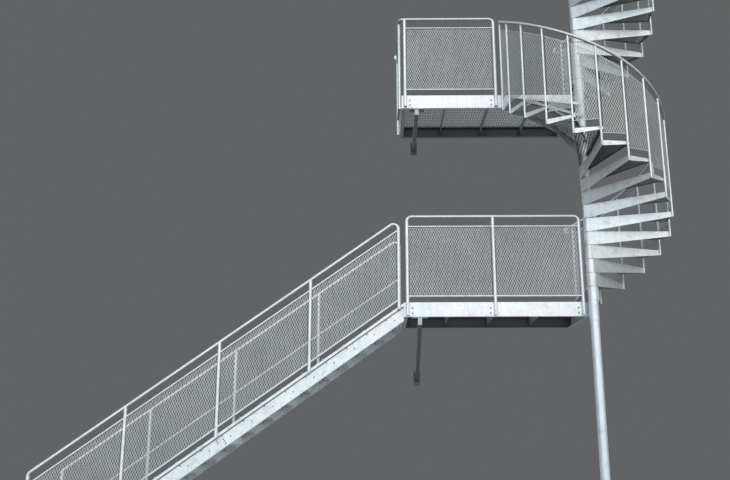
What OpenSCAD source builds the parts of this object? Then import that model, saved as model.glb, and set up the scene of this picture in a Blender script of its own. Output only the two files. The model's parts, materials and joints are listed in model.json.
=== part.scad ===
// Galvanised outside stair: a straight flight from the ground to the first landing, then two
// turns of spiral stair round one column to a second and a third landing.
// Origin on the column axis at ground level, x along the landings, y towards the anchored rear side.

/* [Levels] */
// Height of one riser, the same on the straight flight and on the spiral
riser = 175; // [160:1:190]
// Risers from the ground to the first landing
flight_risers = 19; // [12:1:22]
// Risers from one landing to the next
storey_risers = 16; // [14:1:18]

/* [Landings] */
// Length of a landing, from the column axis to its left edge
landing_len = 2360; // [1800:10:2800]
// Front face of the landings, behind the column axis
front_y = 90; // [80:1:110]
// Rear face of the landings, which is anchored
rear_y = 1230; // [1180:5:1400]
// Depth of the channel round the edge of a landing
edge_h = 180; // [160:1:220]
// Width of the flanges of the edge channel
edge_flange = 50; // [40:1:60]
// Thickness of the edge channel
edge_t = 8; // [6:1:10]
// Free strip between the right edge of a landing and the column axis
right_inset = 15; // [10:1:20]
// Grating panels in a landing
panel_count = 4; // [2:1:6]
// Depth of the joists under the joints of the grating panels
joist_h = 100; // [60:5:120]
// Thickness of the joists
joist_t = 10; // [6:1:14]

/* [Gratings] */
// Depth of the bearing bars
bar_h = 30; // [25:1:40]
// Thickness of the bearing bars
bar_t = 3; // [2:0.5:5]
// Spacing of the bearing bars
bar_pitch = 34; // [30:1:50]

/* [Column] */
// Outer diameter of the column tube
column_d = 114.3; // [101.6:0.1:121]
// Thickness of the column tube
column_t = 5; // [4:0.5:8]
// Thickness of the sleeves stacked on the column
sleeve_t = 3; // [2.5:0.5:5]
// Free play between column and sleeve, on each side
sleeve_play = 0.4; // [0.3:0.1:0.8]
// Joint between one sleeve and the next
sleeve_gap = 0.5; // [0.3:0.1:0.8]
// Side of the square base plate
base_side = 320; // [280:5:400]
// Thickness of the base plate
base_t = 20; // [15:1:30]
// Spacing of the four anchor holes of the base plate
base_hole_pitch = 240; // [200:5:260]
// Diameter of the anchor holes of the base plate
base_hole_d = 22; // [18:1:26]

/* [Spiral] */
// Radius at the outer end plates of the spiral treads
spiral_r = 1000; // [900:10:1100]
// Angle turned by the spiral from one landing to the next
spiral_turn = 270; // [240:1:290]
// Thickness of the riser plate at the back of a spiral tread
plate_t = 6; // [4:0.5:8]
// Depth of the riser plate and the end plate at the rim
rim_h = 65; // [50:1:80]
// Distance of the riser plate at the rim behind the radial line
rear_skew = 37; // [30:1:45]
// Distance of the nosing at the rim behind the radial line
nosing_skew = 10; // [5:1:20]
// Width of the nosing strip
nosing_w = 35; // [25:1:45]
// Diameter of the balusters of the spiral
baluster_d = 26.9; // [21.3:0.1:33.7]
// Diameter of the spiral handrail
spiral_rail_d = 40; // [33:1:48]
// Height of the spiral handrail above the line of the nosings
spiral_guard_h = 1030; // [950:5:1100]
// Gap between the spiral handrail and the top of the mesh
mesh_drop = 110; // [80:5:160]
// Gap between a tread and the mesh above it
mesh_rise = 87; // [60:1:110]

/* [Straight flight] */
// Going of the straight flight
going = 250; // [230:1:280]
// Overlap of one tread of the straight flight over the next
tread_lap = 20; // [10:1:40]
// Depth of the stringers, square to the slope
stringer_h = 182; // [160:1:220]
// Thickness of the stringer plate
stringer_t = 8; // [6:1:10]
// How far the folded top of a stringer stands out
chord_w = 20; // [15:1:30]
// Height of the folded lip along the top of a stringer
chord_h = 38; // [30:1:50]
// Free strip between the inner stringer and the anchored rear face
flight_clear = 50; // [45:1:80]
// Length of the level bearing at the foot of the stringers
foot_len = 179; // [140:1:220]
// Tread over the splice of the stringers, counted from the top
splice_tread = 9; // [6:1:11]

/* [Guards] */
// Height of the handrail axis above floor or nosings
guard_h = 1107; // [1000:1:1200]
// Diameter of handrails and posts
rail_d = 42.4; // [38:0.1:48.3]
// Diameter of the posts that end under a handrail
post_d = 41.6; // [37:0.1:41.9]
// Diameter of the middle and bottom rails
thin_rail_d = 26.9; // [21.3:0.1:33.7]
// Inner height of the middle rail below the handrail axis
rail_drop = 131; // [110:1:160]
// Height of the bottom rail axis above floor or nosings
rail_rise = 72; // [60:1:100]
// Radius of the bends in the handrails, at the axis
bend_r = 62; // [55:1:90]
// Spacing of the posts on the straight flight, measured level
post_pitch = 1115; // [900:5:1200]
// Distance of the first post from the left edge of the landing
post_start = 62; // [50:1:90]
// Distance of the outer guard posts from the ends of the landing
post_end = 47; // [40:1:80]
// Distance of the end posts across a landing from its front and rear face
side_post_end = 80; // [70:1:120]
// Right end of the guards of the upper landings, from the column axis
upper_guard_end = 1100; // [950:5:1300]
// Length of post that runs down past the floor
post_tail = 165; // [120:1:170]
// Length of the posts of the straight flight below its pitch line
flight_tail = 48; // [40:1:50]
// Distance of the first inner post of the straight flight from the landing
inner_start = 24; // [23:1:60]
// Spacing of the inner posts of the straight flight, measured level
inner_pitch = 1127; // [900:1:1150]
// Thickness of the lugs that carry the posts
lug_t = 5; // [4:1:8]
// Thickness of the mesh sheets
mesh_t = 2.5; // [2:0.5:4]
// Spacing of the openings in the mesh sheets
grid_pitch = 150; // [110:5:200]
// Width of the bars between the openings of the mesh sheets
grid_bar = 24; // [15:1:35]

/* [Struts] */
// Width of the strut under a landing
strut_w = 50; // [40:1:80]
// Depth of the strut under a landing
strut_h = 80; // [60:1:100]
// Drop of the lowest strut from front to rear
strut_drop = 632; // [400:1:900]
// Drop of the struts under the upper landings
upper_strut_drop = 120; // [60:1:600]
// Distance of the strut from the left edge of the landing
strut_x = 200; // [150:5:400]
// Thickness of the plates at both ends of the strut
strut_plate_t = 10; // [8:1:15]
// Width of the strut's anchor plate
strut_foot_w = 90; // [80:1:160]
// Height of the strut's anchor plate
strut_foot_h = 190; // [170:1:240]

/* [Anchors] */
// Diameter of the anchor holes in ledgers, struts and feet
anchor_d = 14; // [11:1:18]
// Diameter of the round anchor discs of the handrails
rosette_d = 90; // [70:1:110]
// Thickness of the round anchor discs
rosette_t = 8; // [6:1:10]

/* [Hidden] */
$fn = 48;

steel = [0.80, 0.83, 0.84];
steel_pale = [0.90, 0.92, 0.92];
steel_dull = [0.66, 0.70, 0.71];
mesh_tone = [0.72, 0.74, 0.76, 0.6];

level = [flight_risers * riser, (flight_risers + storey_risers) * riser,
         (flight_risers + 2 * storey_risers) * riser];
sleeve_r = column_d / 2 + sleeve_play + sleeve_t;
bore_r = column_d / 2 + sleeve_play;
tread_count = storey_risers - 1;
step_angle = spiral_turn / tread_count;
start_angle = 90;
skew_angle = atan2(rear_skew, spiral_r);
baluster_play = 0.3;
baluster_r = norm([spiral_r, rear_skew]) + plate_t / 2 + baluster_d / 2 + baluster_play;
mesh_play = 0.5;
notch_play = 17;
notch_x = sleeve_r + notch_play;
notch_d = 68;
notch_t = 8;
weld = 1.5;
overcut = 1;
slim_leg = 0.3;
half_turn = 180;
post_y = front_y - lug_t - rail_d / 2 + weld;
side_x = -landing_len - lug_t - rail_d / 2 + weld;
column_rise = 25;
column_top = level[2] + guard_h + column_rise;
post_clear = 30;
base_gusset = 90;
gusset_t = 8;
gusset_play = 0.2;
end_x = -right_inset + lug_t + rail_d / 2 - weld;
ring_h = 12;
ring_w = 4;
collar_extra = 60;
collar_plate = 8;
collar_play = 0.3;
grating_gap = 2;
nosing_t = 5;
ledger_end = 140;
ledger_shift = 80;
joist_play = 0.4;

// Line of the straight flight: height at x, through the left edge of the first landing
slope = riser / going;
function pitch_z(x) = level[0] + slope * (x + landing_len);
slope_angle = atan(slope);
stringer_drop = 8;
stringer_v = stringer_h / cos(slope_angle);
chord_t = 5;
lip_t = 4;
outer_web_y = front_y + chord_w;
inner_web_y = rear_y - flight_clear;
flight_tread_count = flight_risers - 1;
tread_back = 2;
tread_depth = going + tread_lap;
foot_t = 10;
foot_x2 = -landing_len - (level[0] - stringer_drop - stringer_v - foot_t) / slope;
foot_x1 = foot_x2 - foot_len;
function post_x(i) = -landing_len - post_start - i * post_pitch;
function inner_post_x(i) = -landing_len - inner_start - i * inner_pitch;
last_post = 4;
splice_gap = 2;
splice_len = 180;
splice_h = 88;
splice_t = 8;
splice_play = 6;
joint_back = 32;
end_drop = 62;
end_slant = 60;
nosing_d = 30;
tread_play = 0.3;
function tread_x(j) = -landing_len - tread_back - tread_lap - j * going;
joint_x = tread_x(splice_tread) + joint_back;
end_plate_t = 8;
end_lip = 40;

// Plate with its outline in the x-z plane, from y0 to y0 + t
module plate_xz(points, y0, t) {
    translate([0, y0 + t, 0]) rotate([90, 0, 0]) linear_extrude(t) polygon(points);
}

// Sheet with a plain grid of openings, along u from 0 to len, between the lines low and high
module grid_sheet(len, low, high) {
    function low_at(u) = low[0] + (low[1] - low[0]) * u / len;
    function tall_at(u) = high[0] + (high[1] - high[0]) * u / len - low_at(u) - grid_bar;
    nu = max(1, round(len / grid_pitch));
    nv = max(1, round(tall_at(len / 2) / grid_pitch));
    du = (len - grid_bar) / nu;
    function corner(u, k) = [u, low_at(u) + tall_at(u) * k / nv];
    difference() {
        polygon([[0, low[0]], [len, low[1]], [len, high[1]], [0, high[0]]]);
        for (i = [0 : nu - 1], k = [0 : nv - 1]) {
            ua = grid_bar + i * du;
            ub = (i + 1) * du;
            polygon([corner(ua, k) + [0, grid_bar], corner(ub, k) + [0, grid_bar], corner(ub, k + 1),
                     corner(ua, k + 1)]);
        }
    }
}

// Mesh sheet standing on the line p-q, between heights given at both ends
module mesh_sheet(p, q, low, high) {
    v = q - p;
    translate([p.x, p.y, 0]) rotate([0, 0, atan2(v.y, v.x)]) translate([0, mesh_t / 2, 0])
        rotate([90, 0, 0]) linear_extrude(mesh_t) grid_sheet(norm(v), low, high);
}

// Plate with its outline in the y-z plane, from x0 to x0 + t
module plate_yz(points, x0, t) {
    translate([x0, 0, 0]) rotate([90, 0, 90]) linear_extrude(t) polygon(points);
}

// Round bar between two points
module bar(p, q, d) {
    v = q - p;
    len = norm(v);
    translate(p) rotate([0, acos(v.z / len), atan2(v.y, v.x)]) cylinder(h = len, d = d);
}

// Turn at corner b of the path a-b-c, signed, in degrees
function turn_at(a, b, c) =
    let (d = atan2(c.y - b.y, c.x - b.x) - atan2(b.y - a.y, b.x - a.x))
    d > half_turn ? d - 2 * half_turn : d < -half_turn ? d + 2 * half_turn : d;

// Distance from a corner to the start of its bend
function bend_cut(a, b, c, r) = r * tan(abs(turn_at(a, b, c)) / 2);

function unit(v) = v / norm(v);

// Bent round tube along a flat path, in the plane of x and y. Where a leg slants, the legs are slim
// thinner than the bends and reach 1 mm into them
module flat_tube(path, d, r, slim = 0) {
    last = len(path) - 1;
    lap = slim > 0 ? 1 : 0;
    cut = [for (i = [0 : last]) i == 0 || i == last ? 0 : bend_cut(path[i - 1], path[i], path[i + 1], r)];
    for (i = [0 : last - 1]) {
        u = unit(path[i + 1] - path[i]);
        a = path[i] + (i == 0 ? 0 : cut[i] - lap) * u;
        b = path[i + 1] - (i + 1 == last ? 0 : cut[i + 1] - lap) * u;
        bar([a.x, a.y, 0], [b.x, b.y, 0], d - slim);
    }
    for (i = [1 : 1 : last - 1]) {
        u = unit(path[i] - path[i - 1]);
        turn = turn_at(path[i - 1], path[i], path[i + 1]);
        side = sign(turn);
        centre = path[i] - cut[i] * u + side * r * [-u.y, u.x];
        heading = atan2(u.y, u.x);
        translate([centre.x, centre.y, 0])
            rotate([0, 0, side > 0 ? heading - 90 : heading + 90 + turn])
                rotate_extrude(angle = abs(turn)) translate([r, 0]) circle(d = d);
    }
}

// Bent tube with its path given in x and z, at height y0
module tube_xz(path, y0, d, r, slim = 0) {
    translate([0, y0, 0]) rotate([90, 0, 0]) flat_tube(path, d, r, slim);
}

// Section of the edge channel: web from the outer face inwards, bottom flange, seat for the grating
module edge_section() {
    seat = edge_h - bar_h;
    polygon([[0, 0], [edge_flange, 0], [edge_flange, edge_t], [edge_t, edge_t],
             [edge_t, seat - edge_t], [edge_flange, seat - edge_t], [edge_flange, seat], [edge_t, seat],
             [edge_t, edge_h], [0, edge_h]]);
}

// Edge channel of length len along x, outer face at y = 0 towards -y, top at z = 0
module edge_channel(len) {
    translate([0, 0, -edge_h]) rotate([90, 0, 90]) linear_extrude(len) edge_section();
}

module front_channel(z) {
    color(steel_pale) translate([0, 0, z]) {
        translate([-landing_len, front_y, 0]) edge_channel(landing_len - notch_x);
        translate([-landing_len, front_y, -edge_h]) cube([edge_t, edge_flange, edge_h]);
        translate([-notch_x - notch_t, front_y, -edge_h]) cube([notch_t, notch_d, edge_h]);
    }
}

// Left and right channel, between the front channel and the ledger, with the notch plate at the column
module side_channels(z) {
    run = rear_y - front_y - 2 * edge_flange;
    right_run = rear_y - edge_flange - front_y - notch_d;
    color(steel) translate([0, 0, z]) {
        translate([-landing_len, rear_y - edge_flange, 0]) rotate([0, 0, -90]) edge_channel(run);
        translate([-right_inset, front_y + notch_d, 0]) rotate([0, 0, 90]) edge_channel(right_run);
        translate([-notch_x, front_y + notch_d - notch_t, -edge_h])
            cube([notch_x - right_inset, notch_t, edge_h]);
    }
}

// Rows of anchor holes in a ledger; the middle ones stand beside the joist
function ledger_hole_x(i) =
    -(landing_len + right_inset) / 2 + (i - 1) * (landing_len / 2 - ledger_end) + (i == 1 ? ledger_shift : 0);
ledger_hole_z = [45, 105];

module rear_ledger(z) {
    len = landing_len - right_inset;
    color(steel) difference() {
        translate([0, 0, z]) {
            translate([-right_inset, rear_y, 0]) rotate([0, 0, 180]) edge_channel(len);
            for (x = [-landing_len, -right_inset - edge_t])
                translate([x, rear_y - edge_flange, -edge_h]) cube([edge_t, edge_flange, edge_h]);
        }
        for (i = [0 : 2], h = ledger_hole_z)
            translate([ledger_hole_x(i), rear_y + overcut, z - edge_h + h]) rotate([90, 0, 0])
                cylinder(h = edge_t + 2 * overcut, d = anchor_d);
    }
}

// Grating panel with bars along y, binding bars all round; the notch leaves the column corner free
module grating_panel(x0, x1, y0, y1, notch) {
    bars = floor((x1 - x0 - bar_t) / bar_pitch);
    step = (x1 - x0 - bar_t) / bars;
    nx = -notch_x - notch_t - grating_gap;
    ny = front_y + notch_d + grating_gap;
    linear_extrude(bar_h) {
        difference() {
            union() {
                for (i = [0 : bars]) translate([x0 + i * step, y0]) square([bar_t, y1 - y0]);
                for (y = [y0, y1 - bar_t]) translate([x0, y]) square([x1 - x0, bar_t]);
            }
            if (notch) translate([nx, y0 - overcut]) square([x1 - nx + overcut, ny - y0 + overcut]);
        }
        if (notch) {
            translate([nx - bar_t, ny]) square([x1 - nx + bar_t, bar_t]);
            translate([nx - bar_t, y0]) square([bar_t, ny - y0 + bar_t]);
        }
    }
}

// Left edge and pitch of the grating panels
panel_x = -landing_len + edge_t + grating_gap;
panel_w = (landing_len - right_inset - 2 * edge_t - grating_gap) / panel_count;

module grating(z) {
    color(steel_dull) translate([0, 0, z - bar_h])
        for (i = [0 : panel_count - 1])
            grating_panel(panel_x + i * panel_w, panel_x + (i + 1) * panel_w - grating_gap,
                          front_y + edge_t + grating_gap, rear_y - edge_t - grating_gap,
                          i == panel_count - 1);
}

// Flat joists under the joints of the panels, between the webs of the front channel and the ledger
module joists(z) {
    ya = front_y + edge_t + joist_play;
    yb = rear_y - edge_t - joist_play;
    seat = edge_flange - edge_t + joist_play;
    top = z - bar_h;
    under = top - edge_t - joist_play;
    color(steel) for (i = [1 : panel_count - 1])
        plate_yz([[ya, under - joist_h], [yb, under - joist_h], [yb, under], [yb - seat, under],
                  [yb - seat, top], [ya + seat, top], [ya + seat, under], [ya, under]],
                 panel_x + i * panel_w - grating_gap / 2 - joist_t / 2, joist_t);
}

bore_d = rail_d - 6;
bore_h = 40;

// Hollow of the open lower end of a post, from the height z up
module post_bore(x, y, z) {
    translate([x, y, z - overcut]) cylinder(h = bore_h + overcut, d = bore_d);
}

lug_w = 112;
lug_h = 120;
lug_rise = 12;

// Lug that ties a post to the front channel, on the side given by dir
module front_lug(x, z, dir) {
    translate([dir > 0 ? x : x - lug_w, front_y - lug_t, z - edge_h + lug_rise]) cube([lug_w, lug_t, lug_h]);
}

// Middle and bottom rail between two posts
module level_rails(xa, xb, z, y0) {
    for (h = [rail_rise, guard_h - rail_drop]) bar([xa, y0, z + h], [xb, y0, z + h], thin_rail_d);
}

left_post_x = -landing_len + post_end;
right_post_x = -notch_x - post_clear;
mid_post_x = (left_post_x + right_post_x) / 2;

// Guard along the whole front of the first landing: one bent tube and a middle post
module full_front_guard(z) {
    color(steel_pale) {
        difference() {
            union() {
                tube_xz([[left_post_x, z - post_tail], [left_post_x, z + guard_h],
                         [right_post_x, z + guard_h], [right_post_x, z - post_tail]],
                        post_y, rail_d, bend_r);
                translate([mid_post_x, post_y, z - post_tail]) cylinder(h = post_tail + guard_h, d = post_d);
                level_rails(left_post_x, right_post_x, z, post_y);
                front_lug(left_post_x, z, 1);
                front_lug(mid_post_x, z, -1);
                front_lug(right_post_x, z, -1);
            }
            for (x = [left_post_x, mid_post_x, right_post_x]) post_bore(x, post_y, z - post_tail);
        }
    }
}

side_post_y = [front_y + side_post_end, rear_y - side_post_end];

// Guard of an upper landing: the front tube turns back along the left side to its anchor disc
module corner_guard(z) {
    top = z + guard_h;
    color(steel_pale) difference() {
        union() {
            tube_xz([[left_post_x, top], [-upper_guard_end, top], [-upper_guard_end, z - post_tail]],
                    post_y, rail_d, bend_r);
            translate([0, 0, top]) flat_tube([[left_post_x, post_y], [side_x, post_y],
                                              [side_x, rear_y - rosette_t]], rail_d, bend_r);
            translate([left_post_x, post_y, z - post_tail]) cylinder(h = post_tail + guard_h, d = post_d);
            level_rails(left_post_x, -upper_guard_end, z, post_y);
            front_lug(left_post_x, z, 1);
            front_lug(-upper_guard_end, z, -1);
            side_guard_frame(side_x, z, -1);
        }
        for (x = [left_post_x, -upper_guard_end]) post_bore(x, post_y, z - post_tail);
        for (y = side_post_y) post_bore(side_x, y, z - post_tail);
    }
}

// Posts, rails, lugs and anchor disc of a guard across the end of a landing; dir points outwards
module side_guard_frame(x, z, dir) {
    face_x = dir < 0 ? -landing_len : -right_inset;
    for (y = side_post_y) {
        translate([x, y, z - post_tail]) cylinder(h = post_tail + guard_h, d = post_d);
        translate([dir < 0 ? face_x - lug_t : face_x, y > rear_y / 2 ? y - lug_w : y, z - edge_h + lug_rise])
            cube([lug_t, lug_w, lug_h]);
    }
    for (h = [rail_rise, guard_h - rail_drop])
        bar([x, side_post_y[0], z + h], [x, side_post_y[1], z + h], thin_rail_d);
    translate([x, rear_y - rosette_t, z + guard_h]) rotate([-90, 0, 0])
        cylinder(h = rosette_t, d = rosette_d);
}

// Guard across the right end of the top landing, from the column to its anchor disc
module end_guard(z) {
    x = end_x;
    color(steel_pale) difference() {
        union() {
            side_guard_frame(x, z, 1);
            bar([x, column_d / 2 + collar_play, z + guard_h], [x, rear_y - rosette_t, z + guard_h], rail_d);
        }
        for (y = side_post_y) post_bore(x, y, z - post_tail);
        cylinder(h = column_top, d = column_d + 2 * collar_play);
    }
}

// Lower and upper edge of the mesh between bottom and middle rail
function mesh_v(k) = k > 0 ? guard_h - rail_drop - thin_rail_d / 2 - mesh_play
                           : rail_rise + thin_rail_d / 2 + mesh_play;

module level_mesh(p, q, z) {
    u = unit(q - p) * (rail_d / 2 + mesh_play);
    color(mesh_tone) mesh_sheet(p + u, q - u, [z + mesh_v(0), z + mesh_v(0)], [z + mesh_v(1), z + mesh_v(1)]);
}

module front_mesh(xa, xb, z) {
    level_mesh([xa, post_y], [xb, post_y], z);
}

module side_mesh(x, z) {
    level_mesh([x, side_post_y[0]], [x, side_post_y[1]], z);
}

strut_setback = 12;
strut_seat = [200, 103];
strut_rib = [95, 8];
strut_hole_z = 140;

// Strut from under the front channel down to its anchor plate at the rear
module strut(z, drop) {
    x = -landing_len + strut_x;
    top = z - edge_h - strut_plate_t;
    ya = front_y + strut_setback;
    yb = rear_y - strut_plate_t;
    tilt = atan2(drop, yb - ya);
    plumb = strut_h / cos(tilt);
    foot_z = top - drop - plumb / 2;
    color(steel) difference() {
        union() {
            plate_yz([[ya, top], [ya, top - plumb], [yb, top - drop - plumb], [yb, top - drop]],
                     x - strut_w / 2, strut_w);
            plate_yz([[ya + weld, top + weld], [ya + strut_rib[0], top + weld],
                      [ya + strut_rib[0], top - strut_rib[0] * tan(tilt) - strut_rib[1]],
                      [ya + weld, top - strut_rib[1]]], x - strut_rib[1] / 2, strut_rib[1]);
            translate([x - strut_seat[0] / 2, ya - strut_rib[1], top])
                cube([strut_seat[0], strut_seat[1], strut_plate_t]);
            translate([x - strut_foot_w / 2, yb, foot_z - strut_foot_h / 2])
                cube([strut_foot_w, strut_plate_t, strut_foot_h]);
        }
        for (k = [-1, 1])
            translate([x, rear_y + overcut, foot_z + k * strut_hole_z / 2])
                rotate([90, 0, 0]) cylinder(h = strut_plate_t + 2 * overcut, d = anchor_d);
    }
}

module column() {
    color(steel_pale) translate([0, 0, base_t]) difference() {
        cylinder(h = column_top - base_t, d = column_d);
        translate([0, 0, -overcut]) cylinder(h = column_top, d = column_d - 2 * column_t);
    }
}

module column_base() {
    color(steel) difference() {
        union() {
            translate([-base_side / 2, -base_side / 2, 0]) cube([base_side, base_side, base_t]);
            for (a = [0 : 90 : 270]) rotate([0, 0, a + 45])
                plate_xz([[column_d / 2 + gusset_play, base_t], [column_d / 2 + base_gusset, base_t],
                          [column_d / 2 + gusset_play, base_t + base_gusset]], -gusset_t / 2, gusset_t);
        }
        for (i = [-1, 1], k = [-1, 1])
            translate([i * base_hole_pitch / 2, k * base_hole_pitch / 2, -overcut])
                cylinder(h = base_t + 2 * overcut, d = base_hole_d);
    }
}

cap_z = [4, 9, 12];
cap_bevel = 6;

module column_cap() {
    color(steel) translate([0, 0, column_top]) rotate_extrude()
        polygon([[0, 0], [column_d / 2, 0], [column_d / 2, cap_z[0]], [column_d / 2 - cap_bevel, cap_z[1]],
                 [column_d / 4, cap_z[2]], [0, cap_z[2]]]);
}

// Sleeve under and at one landing, with the plates that carry the landing's corner
module collar(z, h) {
    ear = front_y + notch_d - notch_t;
    color(steel) difference() {
        union() {
            translate([0, 0, z - h + sleeve_gap]) cylinder(h = h - sleeve_gap, r = sleeve_r);
            translate([-(notch_x + right_inset) / 2, 0, z - edge_h + collar_plate / 2])
                cube([collar_plate, ear - collar_play, edge_h - collar_plate / 2]);
            translate([-notch_x + collar_plate / 2, 0, z - edge_h + collar_plate / 2])
                cube([notch_x - right_inset - collar_plate / 2, ear - collar_play, collar_plate]);
        }
        translate([0, 0, z - h - overcut]) cylinder(h = h + 2 * overcut, r = bore_r);
    }
}

module landing_collars() {
    collar(level[0], riser + collar_extra);
    collar(level[1], riser);
    collar(level[2], riser);
    color(steel) translate([0, 0, level[0] - riser - collar_extra - ring_h]) difference() {
        cylinder(h = ring_h, r = sleeve_r + ring_w);
        translate([0, 0, -overcut]) cylinder(h = ring_h + 2 * overcut, r = bore_r);
    }
}

// Corners of a spiral tread, seen from above, with its rear radial line along x
plate_seat = bore_r + 1 + plate_t / 2;
plate_rise = 4;
plate_tail = 18;
nose_start = 8;
nose_h = bar_h + nosing_t;
bar_offset = 8;
tread_a = [0, -plate_seat];
tread_b = [spiral_r, -rear_skew + plate_t / 2];
tread_c = [spiral_r * cos(step_angle) + nosing_skew * sin(step_angle),
           spiral_r * sin(step_angle) - nosing_skew * cos(step_angle)];
tread_d = [-plate_seat * sin(step_angle), plate_seat * cos(step_angle)];

// Plate of thickness t standing on the line p-q, with its outline given along the line and in height
module standing_plate(p, q, outline, t) {
    v = q - p;
    translate([p.x, p.y, 0]) rotate([0, 0, atan2(v.y, v.x)]) plate_xz(outline, -t / 2, t);
}

// One tread of the spiral: sleeve, riser plate, end plate, nosing and bars, top at z = 0
module spiral_tread() {
    rear_len = norm(tread_b - tread_a);
    rim_len = norm(tread_c - tread_b) + plate_t / 2 + 1;
    nose_len = norm(tread_c - tread_d);
    mid = step_angle / 2;
    span = spiral_r * sin(mid) + rear_skew;
    difference() {
        union() {
            translate([0, 0, -riser + sleeve_gap]) cylinder(h = riser - sleeve_gap, r = sleeve_r);
            standing_plate(tread_a, tread_b,
                           [[-plate_tail, -riser + plate_rise], [sleeve_r, -riser + plate_rise],
                            [rear_len, -rim_h], [rear_len, 0], [-plate_tail, 0]], plate_t);
            standing_plate(tread_b, tread_c, [[-plate_t / 2, -rim_h], [rim_len, -nose_h], [rim_len, 0],
                                              [-plate_t / 2, 0]], plate_t);
            standing_plate(tread_d, tread_c, [[nose_start, -nose_h], [nose_len, -nose_h], [nose_len, 0],
                                              [nose_start, 0]], plate_t);
            translate([0, 0, -nosing_t]) linear_extrude(nosing_t) intersection() {
                polygon([tread_a, tread_b, tread_c, tread_d]);
                translate(tread_d) rotate(atan2(tread_c.y - tread_d.y, tread_c.x - tread_d.x))
                    translate([nose_start, -nosing_w]) square([nose_len - nose_start, nosing_w]);
            }
            translate([0, 0, -bar_h]) linear_extrude(bar_h - 1) intersection() {
                polygon([tread_a, tread_b, tread_c, tread_d]);
                rotate(mid) for (i = [-floor(span / bar_pitch) : floor(span / bar_pitch)])
                    translate([bore_r - plate_tail, i * bar_pitch - bar_t / 2 - bar_offset])
                        square([spiral_r, bar_t]);
            }
        }
        translate([0, 0, -riser - overcut]) cylinder(h = riser + 2 * overcut, r = bore_r);
    }
}

function baluster_angle(i) = start_angle - skew_angle - i * step_angle;

module spiral_treads(z) {
    color(steel) for (n = [1 : tread_count])
        translate([0, 0, z + n * riser]) rotate([0, 0, start_angle - n * step_angle]) spiral_tread();
}

// Height of the nosing line at an angle round the column
function nosing_z(z, angle) = z + riser + (start_angle - angle) / step_angle * riser;

// Balusters at the corners of the treads, from the lower tread to the handrail
module spiral_balusters(z) {
    color(steel_pale) for (i = [0 : tread_count]) {
        a = baluster_angle(i);
        low = z + i * riser - rim_h;
        high = nosing_z(z, a) + spiral_guard_h - spiral_rail_d / 2;
        translate([baluster_r * cos(a), baluster_r * sin(a), low]) cylinder(h = high - low, d = baluster_d);
    }
}

function rail_point(z, a) = [baluster_r * cos(a), baluster_r * sin(a), nosing_z(z, a) + spiral_guard_h];

// Round rail swept along a list of points, as a ring of sides at each point
module swept_rail(path, d, sides) {
    last = len(path) - 1;
    function heading(i) = unit(path[min(i + 1, last)] - path[max(i - 1, 0)]);
    rings = [for (i = [0 : last])
        let (t = heading(i), s = unit(cross(t, [0, 0, 1])), w = cross(s, t))
        for (k = [0 : sides - 1])
            path[i] + d / 2 * (cos(360 * (k + 0.5) / sides) * s + sin(360 * (k + 0.5) / sides) * w)];
    quads = [for (i = [0 : last - 1], k = [0 : sides - 1])
        [i * sides + k, i * sides + (k + 1) % sides, (i + 1) * sides + (k + 1) % sides, (i + 1) * sides + k]];
    polyhedron(rings, concat(quads, [[for (k = [sides - 1 : -1 : 0]) k]],
                             [[for (k = [0 : sides - 1]) last * sides + k]]), convexity = 10);
}

rail_step = 4.5;
rail_sides = 12;
lead_steps = 4;
lead_shift = 30;
lead_drop = 16;

// Handrail of the spiral: a lead from its anchor disc, then the helix up to the next landing
module spiral_handrail(z) {
    a0 = start_angle - skew_angle;
    a1 = baluster_angle(tread_count);
    n = round((a0 - a1) / rail_step);
    first = rail_point(z, a0);
    disc_y = rear_y - rosette_t;
    lead = [for (k = [0 : lead_steps - 1]) let (s = 1 - k / lead_steps)
        [first.x - lead_shift * s * s, first.y + (disc_y - first.y) * s, first.z - lead_drop * s]];
    helix = [for (i = [0 : n]) rail_point(z, a0 + (a1 - a0) * i / n)];
    color(steel_pale) {
        swept_rail(concat(lead, helix), spiral_rail_d, rail_sides);
        translate([first.x - lead_shift, disc_y, first.z - lead_drop]) rotate([-90, 0, 0])
            cylinder(h = rosette_t, d = rosette_d);
    }
}

// Mesh sheet between two balusters: level lower edge, upper edge along the handrail
module spiral_mesh(z) {
    gap = baluster_d / 2 + mesh_play;
    color(mesh_tone) for (i = [0 : tread_count - 1]) {
        a = baluster_angle(i);
        p = baluster_r * [cos(a), sin(a)];
        q = baluster_r * [cos(a - step_angle), sin(a - step_angle)];
        share = gap / norm(q - p);
        low = z + (i + 1) * riser + mesh_rise;
        top = nosing_z(z, a) + spiral_guard_h - mesh_drop;
        mesh_sheet(p + share * (q - p), q - share * (q - p), [low, low],
                   [top + riser * share, top + riser * (1 - share)]);
    }
}

// Outline of a stringer between two places, in x and z
function stringer_outline(xa, xb, foot) = concat(
    foot ? [[foot_x1, foot_t], [foot_x2, foot_t]] : [[xa, pitch_z(xa) - stringer_drop - stringer_v]],
    [[xb, pitch_z(xb) - stringer_drop - stringer_v], [xb, pitch_z(xb) - stringer_drop]],
    foot ? [[foot_x1, pitch_z(foot_x1) - stringer_drop]] : [[xa, pitch_z(xa) - stringer_drop]]);

// Band along the top of a stringer, h deep
function chord_outline(xa, xb, h) =
    [[xa, pitch_z(xa) - stringer_drop - h], [xb, pitch_z(xb) - stringer_drop - h],
     [xb, pitch_z(xb) - stringer_drop], [xa, pitch_z(xa) - stringer_drop]];

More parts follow.
